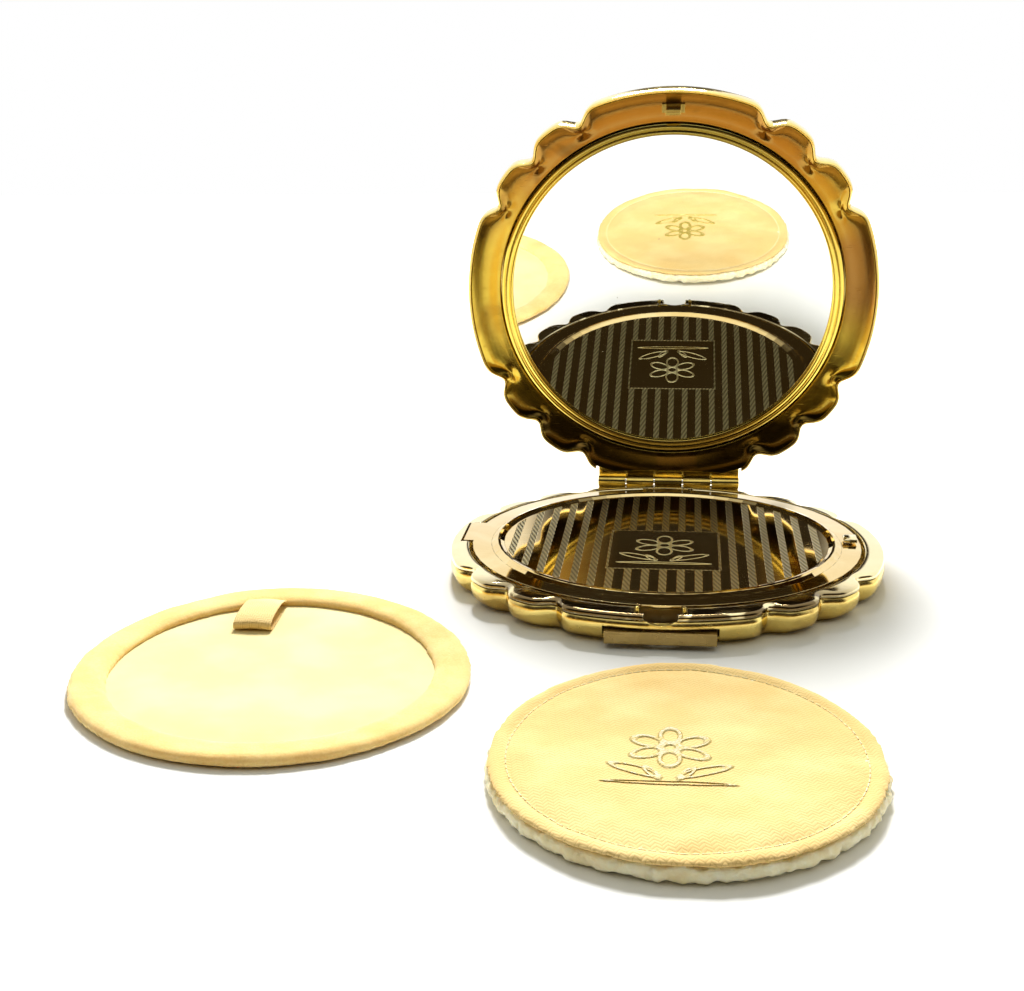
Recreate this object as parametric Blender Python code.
"""Round scalloped powder compact: hinged mirror lid, hinged inner lid over a powder well,
push-bar catch, and the two loose pads (a puff and a sifter) laid out in front of it.

All driving dimensions are in millimetres, in the part's own frame: the origin is the centre
of the flat bottom, +Z is up, and +Y points to the lid's hinge. The lid is modelled shut and
then turned open about its hinge by its parent empty.
"""
import math

import bmesh
import bpy
from mathutils import Matrix, Vector

MM = 0.001                      # metres per millimetre

# Case outline: four long arcs with three notches between each pair
EDGE_R = 40.3                   # outside radius of the base
LID_R = 41.4                    # outside radius of the lid
ARC_SAG = 0.2                   # how far the middle of each long arc lies inside the edge radius
NOTCH_ANGLES = (28.0, 45.0, 62.0)
NOTCH_DEPTH = 2.3
NOTCH_WIDTH = 3.2               # degrees, the half width where the notch is about 1/3 deep
NOTCH_STEPS = (-5.2, -2.6, 0.0, 2.6, 5.2)
ARC_STEPS = (0.0, 8.0, 16.0, 74.0, 82.0)
BUMP_ANGLES = (36.5, 53.5)

# Heights of the base
FLOOR_TOP = 0.6                 # sheet thickness of the pressed shell
WALL_TOP = 4.4
DECK_EDGE_Z = 5.05
DECK_INNER_Z = 5.85
DECK_INNER_R = 36.7
GAP = 0.3                       # clearance between pieces that touch

# Powder well
WELL_R = 34.2
WELL_TOP = 4.7
WELL_FLOOR = 1.2

# Inner lid
INNER_R = 36.0
BEAD_R = 31.3
BEAD_TOP = 6.63
FLANGE_Z = 5.95
INNER_UNDER = 5.55
INNER_AXIS_Y = 35.3
INNER_AXIS_Z = 4.7
INNER_KNUCKLE_R = 0.85
INNER_PIN_R = 0.3

# Lid hinge
HINGE_Y = 41.2
HINGE_Z = 6.1
HINGE_HALF = 14.85
KNUCKLE_R = 1.05
KNUCKLE_HOLE = 0.6
PIN_R = 0.4
KNUCKLES = 5
OPEN_ANGLE = 80.4               # degrees from shut to the rest pose
LEAF_T = 0.5

# Lid, as it lies when shut
LID_RIM_Z = 5.35
LID_TOP = 12.9
SHEET = 0.6
MIRROR_R = 33.2
MIRROR_FACE_Z = 7.9
MIRROR_T = 1.2
BEZEL_IN = 31.5
BEZEL_OUT = 34.4

# Push bar and lid catch
BAR_HALF = 9.2
BAR_FRONT = -41.1
BAR_BACK = -38.4
BAR_Z = (0.95, 3.0)
HOOK_HALF = 1.4
PRONG_X = 3.7
PRONG_TOP = 6.75

# Finger tab and sliding bolt of the inner lid
TAB_Y = (-2.2, 9.0)
TAB_END = -37.8
BOLT_Y = 1.8
BOLT_TIP = 35.9                 # the tongue stops short of the deck's inner edge

# Clearance that lets the inner lid's back edge swing down past the deck
SWING_HALF = (4.6, 13.0)
SWING_Y = 34.1

# Pads
PUFF_AT = (4.3, -86.4)
PUFF_RX, PUFF_RY = 27.2, 30.0
PUFF_LIFT = 1.5                 # the far edge of the soft puff curls up by this much
SIFTER_AT = (-60.5, -57.6)
SIFTER_RX, SIFTER_RY = 31.3, 33.8
SIFTER_TURN = 29.0              # degrees by which the slightly oval sifter lies turned
SIFTER_LIFT = 2.0


# ---------------------------------------------------------------- helpers

def clear_scene():
    for old in list(bpy.data.objects):
        bpy.data.objects.remove(old, do_unlink=True)


def material(name, colour, metallic, roughness):
    found = bpy.data.materials.get(name)
    if found:
        return found
    made = bpy.data.materials.new(name)
    made.use_nodes = True
    shader = made.node_tree.nodes["Principled BSDF"]
    shader.inputs["Base Color"].default_value = (*colour, 1.0)
    shader.inputs["Metallic"].default_value = metallic
    shader.inputs["Roughness"].default_value = roughness
    return made


def polished_gold():
    return material("polished_gold", (0.85, 0.62, 0.27), 1.0, 0.16)


def engraved_gold():
    return material("engraved_gold", (0.72, 0.55, 0.26), 1.0, 0.32)


def spring_steel():
    return material("spring_steel", (0.55, 0.53, 0.5), 1.0, 0.3)


def silvered_glass():
    return material("silvered_glass", (0.9, 0.92, 0.92), 1.0, 0.03)


def backing_card():
    return material("backing_card", (0.55, 0.48, 0.36), 0.0, 0.9)


def velour():
    return material("velour", (0.93, 0.8, 0.6), 0.0, 0.95)


def woven_cloth():
    return material("woven_cloth", (0.93, 0.82, 0.58), 0.0, 0.9)


def finish(name, bm, look, smooth=40.0):
    """Turn a bmesh in millimetres into a named object in metres."""
    bmesh.ops.recalc_face_normals(bm, faces=bm.faces)
    bmesh.ops.scale(bm, vec=Vector((MM, MM, MM)), verts=bm.verts)
    mesh = bpy.data.meshes.new(name)
    bm.to_mesh(mesh)
    bm.free()
    made = bpy.data.objects.new(name, mesh)
    bpy.context.scene.collection.objects.link(made)
    mesh.materials.append(look)
    mesh.shade_smooth()
    mesh.set_sharp_from_angle(angle=math.radians(smooth))
    return made


def dent(angle):
    """Depth of the scalloped outline below the edge radius, at an angle in degrees from +X."""
    folded = angle % 90.0
    notches = sum(math.exp(-((folded - a) / NOTCH_WIDTH) ** 2) for a in NOTCH_ANGLES)
    from_arc_middle = min(folded, 90.0 - folded)
    sag = 1.0 - min(1.0, from_arc_middle / 22.0) ** 2
    return NOTCH_DEPTH * notches + ARC_SAG * sag


def scallop_angles():
    quarter = set(ARC_STEPS) | set(BUMP_ANGLES)
    for notch in NOTCH_ANGLES:
        quarter.update(notch + step for step in NOTCH_STEPS)
    return [turn + a for turn in (0.0, 90.0, 180.0, 270.0) for a in sorted(quarter)]


def even_angles(count):
    return [360.0 * i / count for i in range(count)]


def turned(bm, section, angles):
    """Sweep a section of (radius, height, scallop share) around Z; radius 0 closes on the axis."""
    rings = []
    for radius, height, share in section:
        if radius == 0.0:
            rings.append([bm.verts.new((0.0, 0.0, height))])
            continue
        ring = []
        for angle in angles:
            r = radius - share * dent(angle)
            turn = math.radians(angle)
            ring.append(bm.verts.new((r * math.cos(turn), r * math.sin(turn), height)))
        rings.append(ring)
    closes_on_axis = section[0][0] == 0.0
    pairs = list(zip(rings, rings[1:]))
    if not closes_on_axis:
        pairs.append((rings[-1], rings[0]))
    for low, high in pairs:
        for i in range(len(angles)):
            j = (i + 1) % len(angles)
            if len(low) == 1:
                bm.faces.new((low[0], high[i], high[j]))
            elif len(high) == 1:
                bm.faces.new((low[i], low[j], high[0]))
            else:
                bm.faces.new((low[i], low[j], high[j], high[i]))


def turned_piece(name, section, angles, look):
    bm = bmesh.new()
    turned(bm, section, angles)
    return finish(name, bm, look)


def box_mesh(bm, low, high):
    size = [b - a for a, b in zip(low, high)]
    centre = [(a + b) / 2.0 for a, b in zip(low, high)]
    verts = bmesh.ops.create_cube(bm, size=1.0)["verts"]
    bmesh.ops.scale(bm, vec=Vector(size), verts=verts)
    bmesh.ops.translate(bm, vec=Vector(centre), verts=verts)


def box(name, low, high, look):
    bm = bmesh.new()
    box_mesh(bm, low, high)
    return finish(name, bm, look)


def rod_x(name, x_span, y, z, radius, look, sides=16):
    """A round bar along X."""
    bm = bmesh.new()
    half_turn = math.pi / sides
    ends = []
    for x in x_span:
        ring = []
        for i in range(sides):
            turn = 2.0 * math.pi * i / sides + half_turn
            place = (x, y + radius * math.cos(turn), z + radius * math.sin(turn))
            ring.append(bm.verts.new(place))
        bm.faces.new(ring)
        ends.append(ring)
    bmesh.ops.bridge_loops(bm, edges=[e for e in bm.edges])
    return finish(name, bm, look)


def strip(name, path, width_span, thickness, look, along="y"):
    """A bent flat strip: a path of (u, z) points given a thickness, extruded along X or Z."""
    bm = bmesh.new()
    upper, lower = [], []
    for i, (u, v) in enumerate(path):
        before = path[max(i - 1, 0)]
        after = path[min(i + 1, len(path) - 1)]
        run = Vector((after[0] - before[0], after[1] - before[1])).normalized()
        side = Vector((-run.y, run.x)) * (thickness / 2.0)
        upper.append((u + side.x, v + side.y))
        lower.append((u - side.x, v - side.y))
    outline = upper + lower[::-1]
    faces = []
    for w in width_span:
        if along == "y":
            ring = [bm.verts.new((w, u, v)) for u, v in outline]
        else:
            ring = [bm.verts.new((u, v, w)) for u, v in outline]
        faces.append(ring)
    count = len(outline)
    last = len(path) - 1
    for ring in faces:
        for i in range(last):
            bm.faces.new((ring[i], ring[i + 1], ring[count - 2 - i], ring[count - 1 - i]))
    for i in range(count):
        j = (i + 1) % count
        bm.faces.new((faces[0][i], faces[0][j], faces[1][j], faces[1][i]))
    return finish(name, bm, look)


def combine(target, other, operation):
    """Join or cut with another object, which is kept as a hidden guide."""
    step = target.modifiers.new(operation.lower() + "_" + other.name, "BOOLEAN")
    step.operation = operation
    step.solver = "EXACT"
    step.object = other
    other.hide_render = True
    other.display_type = "WIRE"
    return target


def cut_box(target, tag, low, high):
    combine(target, box("cut_" + tag, low, high, polished_gold()), "DIFFERENCE")


def pivot(name, y, z, turn=0.0):
    """An empty on a hinge axis along X."""
    axis = bpy.data.objects.new(name, None)
    axis.location = (0.0, y * MM, z * MM)
    axis.rotation_euler = (math.radians(-turn), 0.0, 0.0)
    bpy.context.scene.collection.objects.link(axis)
    return axis


def hang(axis, pieces):
    """Parent pieces to a pivot, keeping the place in which they were modelled before the turn."""
    for piece in pieces:
        piece.parent = axis
        piece.location = -axis.location


def knuckle_spans():
    """X spans of the hinge barrels, from one end to the other."""
    length = (2.0 * HINGE_HALF - (KNUCKLES - 1) * GAP) / KNUCKLES
    starts = [-HINGE_HALF + i * (length + GAP) for i in range(KNUCKLES)]
    return [(start, start + length) for start in starts]


# ---------------------------------------------------------------- base

def make_base_shell():
    section = [
        (0.0, 0.0, 0.0),
        (38.6, 0.0, 0.6),
        (39.9, 0.45, 0.85),
        (EDGE_R - 0.2, 1.4, 1.0),
        (EDGE_R, 2.8, 1.0),
        (EDGE_R, WALL_TOP, 1.0),
        (EDGE_R - SHEET, WALL_TOP, 1.0),
        (EDGE_R - SHEET, 2.6, 1.0),
        (EDGE_R - 1.5, 1.1, 0.9),
        (37.6, FLOOR_TOP, 0.6),
        (0.0, FLOOR_TOP, 0.0),
    ]
    shell = turned_piece("base_shell", section, scallop_angles(), polished_gold())
    cut_box(shell, "bar_window", (-BAR_HALF - 0.4, -46.0, BAR_Z[0] - GAP),
            (BAR_HALF + 0.4, -37.0, BAR_Z[1] + GAP))
    cut_box(shell, "base_hinge_gate", (-HINGE_HALF - 0.4, 35.0, 3.4),
            (HINGE_HALF + 0.4, 45.0, 6.0))
    return shell


def half_moon():
    """Cutter for the catch opening in the front edge: an oval bar along Y."""
    bm = bmesh.new()
    sides = 20
    rings = []
    for y in (-45.0, -38.6):
        ring = []
        for i in range(sides):
            turn = 2.0 * math.pi * i / sides
            ring.append(bm.verts.new((2.9 * math.cos(turn), y, 5.3 + 1.45 * math.sin(turn))))
        bm.faces.new(ring)
        rings.append(ring)
    bmesh.ops.bridge_loops(bm, edges=[e for e in bm.edges])
    return finish("cut_half_moon", bm, polished_gold())


def make_base_deck():
    section = [
        (DECK_INNER_R, 5.3, 0.0),
        (DECK_INNER_R, DECK_INNER_Z - 0.1, 0.0),
        (DECK_INNER_R + 0.35, DECK_INNER_Z, 0.0),
        (38.4, 5.7, 0.35),
        (EDGE_R - 0.6, DECK_EDGE_Z + 0.12, 1.0),
        (EDGE_R, 4.95, 1.0),
        (EDGE_R, WALL_TOP + GAP, 1.0),
        (EDGE_R - SHEET, WALL_TOP + GAP, 1.0),
        (38.3, 5.15, 0.35),
    ]
    deck = turned_piece("base_deck", section, scallop_angles(), polished_gold())
    cut_box(deck, "deck_hinge", (-HINGE_HALF - 0.4, 39.6, 3.0), (HINGE_HALF + 0.4, 45.0, 8.0))
    cut_box(deck, "deck_catch", (-4.3, -39.2, 3.0), (4.3, -36.0, 8.0))
    cut_box(deck, "deck_tab", (-38.3, TAB_Y[0] - 0.5, 3.0), (-30.0, TAB_Y[1] + 0.5, 8.0))
    cut_box(deck, "deck_swing", (-SWING_HALF[0] - 0.6, 35.0, 3.0), (SWING_HALF[0] + 0.6, 37.0, 8.0))
    return deck


def make_catch_opening(shell, deck):
    opening = half_moon()
    combine(shell, opening, "DIFFERENCE")
    combine(deck, opening, "DIFFERENCE")


def make_powder_well():
    section = [
        (0.0, FLOOR_TOP + GAP, 0.0),
        (WELL_R - 0.6, FLOOR_TOP + GAP, 0.0),
        (WELL_R, 1.5, 0.0),
        (WELL_R, WELL_TOP, 0.0),
        (WELL_R - 0.6, WELL_TOP, 0.0),
        (WELL_R - 0.6, 1.7, 0.0),
        (WELL_R - 1.1, WELL_FLOOR, 0.0),
        (0.0, WELL_FLOOR, 0.0),
    ]
    return turned_piece("powder_well", section, even_angles(48), engraved_gold())


def make_hinge_leaf(name, owned, plate_z, lip_z):
    """A leaf plate with its own share of the hinge barrels standing along its back edge."""
    spans = knuckle_spans()
    leaf = box(name, (-HINGE_HALF, 37.2, plate_z), (HINGE_HALF, HINGE_Y + 0.5, plate_z + LEAF_T),
               polished_gold())
    for number in owned:
        start, end = spans[number]
        lip = box(name + "_lip_" + str(number), (start + 0.1, HINGE_Y - 0.4, lip_z[0]),
                  (end - 0.1, HINGE_Y + 0.4, lip_z[1]), polished_gold())
        barrel = rod_x(name + "_barrel_" + str(number), spans[number], HINGE_Y, HINGE_Z,
                       KNUCKLE_R, polished_gold())
        combine(leaf, lip, "UNION")
        combine(leaf, barrel, "UNION")
    bore = rod_x(name + "_bore", (-20.0, 20.0), HINGE_Y, HINGE_Z, KNUCKLE_HOLE, polished_gold(), 12)
    combine(leaf, bore, "DIFFERENCE")
    return leaf


def make_hinge_pin():
    return rod_x("hinge_pin", (-HINGE_HALF, HINGE_HALF), HINGE_Y, HINGE_Z, PIN_R, spring_steel(), 12)


def make_catch_bracket():
    """Two upright prongs joined by a bar above the catch opening and a strap below the deck."""
    bracket = box("catch_bracket", (-6.0, -38.9, 3.3), (6.0, -38.3, 3.8), polished_gold())
    for side in (-1.0, 1.0):
        inner, outer = sorted((side * (PRONG_X - 0.25), side * (PRONG_X + 0.25)))
        prong = box("prong_" + ("left" if side < 0 else "right"), (inner, -38.9, 3.4),
                    (outer, -37.6, PRONG_TOP), polished_gold())
        combine(bracket, prong, "UNION")
    bar = box("prong_bar", (-PRONG_X, -38.8, 6.0), (PRONG_X, -38.5, 6.5), polished_gold())
    combine(bracket, bar, "UNION")
    return bracket


def make_inner_hinge_bracket():
    bracket = box("inner_hinge_bracket", (-5.8, 34.75, FLOOR_TOP + GAP), (5.8, 36.4, 1.4),
                  polished_gold())
    for side in (-1.0, 1.0):
        inner, outer = sorted((side * 4.7, side * 5.5))
        post = box("inner_post_" + ("left" if side < 0 else "right"), (inner, 34.75, 1.2),
                   (outer, 36.0, 5.25), polished_gold())
        combine(bracket, post, "UNION")
    bore = rod_x("inner_post_bore", (-9.0, 9.0), INNER_AXIS_Y, INNER_AXIS_Z, 0.4,
                 polished_gold(), 12)
    combine(bracket, bore, "DIFFERENCE")
    return bracket


def make_inner_hinge_pin():
    return rod_x("inner_hinge_pin", (-5.5, 5.5), INNER_AXIS_Y, INNER_AXIS_Z, INNER_PIN_R,
                 spring_steel(), 12)


def make_push_bar():
    """The bar that is pressed, with a windowed ledge behind it for the lid's hook."""
    bar = box("push_bar", (-BAR_HALF, BAR_FRONT, BAR_Z[0]), (BAR_HALF, BAR_BACK, BAR_Z[1]),
              polished_gold())
    ledge = box("bar_ledge", (-3.2, BAR_BACK - 0.5, 2.5), (3.2, -36.1, BAR_Z[1] - 0.02),
                polished_gold())
    combine(bar, ledge, "UNION")
    cut_box(bar, "bar_hook_window", (-1.8, -39.2, 0.0), (1.8, -36.9, 4.0))
    return bar


def make_push_bar_spring():
    """A bowed leaf behind the bar."""
    path = []
    for i in range(9):
        x = -8.5 + 17.0 * i / 8
        path.append((x, -35.3 - 1.9 * (x / 8.5) ** 2))
    return strip("push_bar_spring", path, (1.1, 2.1), 0.35, spring_steel(), along="z")


# ---------------------------------------------------------------- inner lid

def make_inner_lid():
    section = [
        (0.0, 6.1, 0.0),
        (BEAD_R - 1.2, 6.1, 0.0),
        (BEAD_R - 0.5, 6.5, 0.0),
        (BEAD_R, BEAD_TOP, 0.0),
        (BEAD_R + 0.5, 6.5, 0.0),
        (BEAD_R + 1.2, FLANGE_Z, 0.0),
        (INNER_R, FLANGE_Z, 0.0),
        (INNER_R, INNER_UNDER, 0.0),
        (BEAD_R + 1.0, INNER_UNDER, 0.0),
        (BEAD_R, 6.0, 0.0),
        (BEAD_R - 1.0, INNER_UNDER, 0.0),
        (0.0, INNER_UNDER, 0.0),
    ]
    inner = turned_piece("inner_lid", section, even_angles(60), engraved_gold())
    tab = box("finger_tab", (TAB_END, TAB_Y[0], INNER_UNDER + 0.03),
              (-34.0, TAB_Y[1], FLANGE_Z - 0.03), polished_gold())
    web = box("inner_web", (-4.2, INNER_AXIS_Y - 0.4, INNER_AXIS_Z), (4.2, INNER_AXIS_Y + 0.4, 5.7),
              polished_gold())
    barrel = rod_x("inner_barrel", (-4.2, 4.2), INNER_AXIS_Y, INNER_AXIS_Z, INNER_KNUCKLE_R,
                   polished_gold())
    bore = rod_x("inner_bore", (-9.0, 9.0), INNER_AXIS_Y, INNER_AXIS_Z, 0.45, polished_gold(), 12)
    for piece in (tab, web, barrel):
        combine(inner, piece, "UNION")
    combine(inner, bore, "DIFFERENCE")
    cut_box(inner, "bolt_slot", (33.2, BOLT_Y - 0.9, 5.0), (34.9, BOLT_Y + 0.9, 7.0))
    cut_box(inner, "swing_left", (-SWING_HALF[1], SWING_Y, 5.0), (-SWING_HALF[0], 37.0, 7.0))
    cut_box(inner, "swing_right", (SWING_HALF[0], SWING_Y, 5.0), (SWING_HALF[1], 37.0, 7.0))
    cutters = [bpy.data.objects["cut_" + tag] for tag in ("bolt_slot", "swing_left", "swing_right")]
    return [inner, tab, web, barrel, bore] + cutters


def make_inner_catch():
    """The little sliding bolt of the inner lid: a knob on top and a tongue under the flange."""
    bolt = box("inner_catch", (34.3, BOLT_Y - 1.0, 4.95), (BOLT_TIP, BOLT_Y + 1.0, 5.3),
               polished_gold())
    stem = box("bolt_stem", (34.4, BOLT_Y - 0.6, 5.0), (34.7, BOLT_Y + 0.6, 6.5), polished_gold())
    knob = box("bolt_knob", (34.0, BOLT_Y - 1.7, 6.25), (35.4, BOLT_Y + 1.7, 6.85), polished_gold())
    combine(bolt, stem, "UNION")
    combine(bolt, knob, "UNION")
    return [bolt, stem, knob]


# ---------------------------------------------------------------- lid

def make_lid_shell():
    section = [
        (0.0, LID_TOP, 0.0),
        (30.0, LID_TOP - 0.35, 0.15),
        (37.0, LID_TOP - 0.8, 0.5),
        (LID_R - 0.9, 11.2, 0.9),
        (LID_R, 9.6, 1.0),
        (LID_R, LID_RIM_Z, 1.0),
        (LID_R - SHEET, LID_RIM_Z, 1.0),
        (LID_R - SHEET, 9.4, 1.0),
        (LID_R - 1.6, 10.7, 0.9),
        (36.7, LID_TOP - 1.4, 0.5),
        (30.0, LID_TOP - 0.95, 0.15),
        (0.0, LID_TOP - SHEET, 0.0),
    ]
    shell = turned_piece("lid_shell", section, scallop_angles(), polished_gold())
    cut_box(shell, "lid_hinge_gate", (-HINGE_HALF - 0.4, 35.0, 3.0), (HINGE_HALF + 0.4, 46.0, 9.2))
    return [shell, bpy.data.objects["cut_lid_hinge_gate"]]


def make_lid_border():
    """The dished, scalloped frame between the rim and the mirror."""
    section = [
        (BEZEL_OUT + GAP, 7.25, 0.0),
        (36.3, 7.5, 0.2),
        (37.9, 7.45, 0.45),
        (39.3, 6.9, 0.9),
        (LID_R - 0.9, 5.9, 1.0),
        (LID_R - 0.9, 6.4, 1.0),
        (39.4, 7.4, 0.9),
        (38.0, 7.95, 0.45),
        (36.3, 8.0, 0.2),
        (BEZEL_OUT + GAP, 7.75, 0.0),
    ]
    border = turned_piece("lid_border", section, scallop_angles(), polished_gold())
    cut_box(border, "border_hinge", (-HINGE_HALF - 0.4, 38.9, 3.0), (HINGE_HALF + 0.4, 46.0, 9.0))
    return [border, bpy.data.objects["cut_border_hinge"]]


def make_mirror_bezel():
    """A double bead that holds the mirror."""
    section = [
        (BEZEL_IN, MIRROR_FACE_Z - GAP, 0.0),
        (BEZEL_IN, 7.35, 0.0),
        (BEZEL_IN + 0.35, 7.1, 0.0),
        (BEZEL_IN + 0.9, 7.2, 0.0),
        (BEZEL_IN + 1.3, 6.95, 0.0),
        (BEZEL_IN + 1.8, 6.85, 0.0),
        (BEZEL_OUT - 0.2, 7.05, 0.0),
        (BEZEL_OUT, 7.35, 0.0),
        (BEZEL_OUT, MIRROR_FACE_Z - GAP, 0.0),
    ]
    return turned_piece("mirror_bezel", section, even_angles(60), polished_gold())


def disc(name, radius, low, high, edge, look, sides=60):
    section = [
        (0.0, low, 0.0),
        (radius - edge, low, 0.0),
        (radius, low + edge, 0.0),
        (radius, high, 0.0),
        (0.0, high, 0.0),
    ]
    return turned_piece(name, section, even_angles(sides), look)


def make_lid_catch():
    """The lid's hook: a foot on the border, a stem through the deck and a nose at its tip."""
    hook = box("lid_catch", (-2.2, -38.3, 6.35), (2.2, -36.6, 6.75), polished_gold())
    stem = box("hook_stem", (-HOOK_HALF, -38.05, 2.0), (HOOK_HALF, -37.45, 6.5), polished_gold())
    nose = box("hook_nose", (-HOOK_HALF, -37.5, 2.0), (HOOK_HALF, -37.05, 2.4), polished_gold())
    combine(hook, stem, "UNION")
    combine(hook, nose, "UNION")
    return [hook, stem, nose]


# ---------------------------------------------------------------- pads

def pad_rings(bm, radii, section, sides):
    """Oval rings for a pad's section of (inset from the edge, height)."""
    rings = []
    for inset, height in section:
        ring = []
        for i in range(sides):
            turn = 2.0 * math.pi * i / sides
            x = (radii[0] - inset) * math.cos(turn)
            y = (radii[1] - inset) * math.sin(turn)
            ring.append(bm.verts.new((x, y, height)))
        rings.append(ring)
    return rings


def close_pad(bm, rings, solid):
    """Bridge the rings; a solid pad is capped, a ring-shaped one is closed on itself."""
    sides = len(rings[0])
    pairs = list(zip(rings, rings[1:]))
    if not solid:
        pairs.append((rings[-1], rings[0]))
    for low, high in pairs:
        for i in range(sides):
            j = (i + 1) % sides
            bm.faces.new((low[i], low[j], high[j], high[i]))
    if solid:
        for ring in (rings[0], rings[-1]):
            hub = bm.verts.new((0.0, 0.0, ring[0].co.z))
            for i in range(sides):
                bm.faces.new((hub, ring[i], ring[(i + 1) % sides]))


def curl_height(y, reach, lift):
    """How far a pad is raised at a distance y from its middle, towards its far edge."""
    share = max(0.0, (y + reach * 0.3) / (reach * 1.3))
    return lift * share ** 2


def make_pad(name, centre, radii, section, lift, look, solid=True, turn=0.0):
    bm = bmesh.new()
    rings = pad_rings(bm, radii, section, sides=40)
    close_pad(bm, rings, solid)
    bmesh.ops.rotate(bm, verts=bm.verts, matrix=Matrix.Rotation(math.radians(turn), 3, "Z"))
    for vert in bm.verts:
        vert.co.z += curl_height(vert.co.y, radii[1], lift)
        vert.co.x += centre[0]
        vert.co.y += centre[1]
    return finish(name, bm, look, smooth=60.0)


def make_puff():
    radii = (PUFF_RX, PUFF_RY)
    back = [(14.0, 0.0), (4.0, 0.0), (1.0, 0.35), (0.0, 1.0), (0.6, 1.6), (2.0, 1.9), (14.0, 1.95)]
    cover = [(14.0, 2.25), (2.0, 2.2), (0.9, 2.0), (0.5, 2.3), (1.4, 2.9), (4.0, 3.3), (14.0, 3.5)]
    make_pad("puff_back", PUFF_AT, radii, back, PUFF_LIFT, velour())
    make_pad("puff_cover", PUFF_AT, radii, cover, PUFF_LIFT, woven_cloth())


def make_sifter():
    radii = (SIFTER_RX, SIFTER_RY)
    border = [(6.3, 0.8), (2.0, 0.8), (1.9, 0.0), (0.6, 0.0), (0.0, 0.6), (0.2, 1.4), (1.1, 1.9),
              (4.6, 2.05), (6.1, 1.7)]
    gauze = [(12.0, 0.05), (2.3, 0.05), (2.3, 0.45), (12.0, 0.45)]
    make_pad("sifter_ring", SIFTER_AT, radii, border, SIFTER_LIFT, velour(), False, SIFTER_TURN)
    make_pad("sifter_gauze", SIFTER_AT, radii, gauze, SIFTER_LIFT, woven_cloth(), True, SIFTER_TURN)


def make_sifter_ribbon():
    """The ribbon by which the sifter is lifted, lying over the border's far inner edge."""
    path = []
    for out, clear in ((29.5, 2.65), (27.0, 2.6), (25.0, 2.35), (22.8, 1.65), (20.3, 1.1), (18.0, 0.95)):
        height = clear + curl_height(out, SIFTER_RY, SIFTER_LIFT)
        path.append((SIFTER_AT[1] + out, height))
    left = SIFTER_AT[0] - 12.6
    return strip("sifter_ribbon", path, (left, left + 6.6), 0.5, woven_cloth())


# ---------------------------------------------------------------- assembly

def main():
    clear_scene()

    shell = make_base_shell()
    deck = make_base_deck()
    make_catch_opening(shell, deck)
    make_powder_well()
    make_hinge_leaf("base_hinge_leaf", (0, 2, 4), 3.75, (3.8, HINGE_Z))
    make_hinge_pin()
    make_catch_bracket()
    make_inner_hinge_bracket()
    make_inner_hinge_pin()
    make_push_bar()
    make_push_bar_spring()

    inner_axis = pivot("inner_lid_axis", INNER_AXIS_Y, INNER_AXIS_Z)
    hang(inner_axis, make_inner_lid())
    hang(inner_axis, make_inner_catch())

    lid_leaf = make_hinge_leaf("lid_hinge_leaf", (1, 3), 8.4, (HINGE_Z, 8.7))
    leaf_guides = [o for o in bpy.data.objects if o.name.startswith("lid_hinge_leaf_")]
    mirror = disc("mirror", MIRROR_R, MIRROR_FACE_Z, MIRROR_FACE_Z + MIRROR_T, 0.4, silvered_glass())
    card_z = MIRROR_FACE_Z + MIRROR_T + GAP
    card = disc("mirror_backing", MIRROR_R - 0.2, card_z, card_z + 0.6, 0.1, backing_card(), 48)
    lid_axis = pivot("lid_axis", HINGE_Y, HINGE_Z, OPEN_ANGLE)
    hang(lid_axis, make_lid_shell() + make_lid_border() + make_lid_catch())
    hang(lid_axis, [make_mirror_bezel(), mirror, card, lid_leaf] + leaf_guides)

    make_puff()
    make_sifter()
    make_sifter_ribbon()


main()
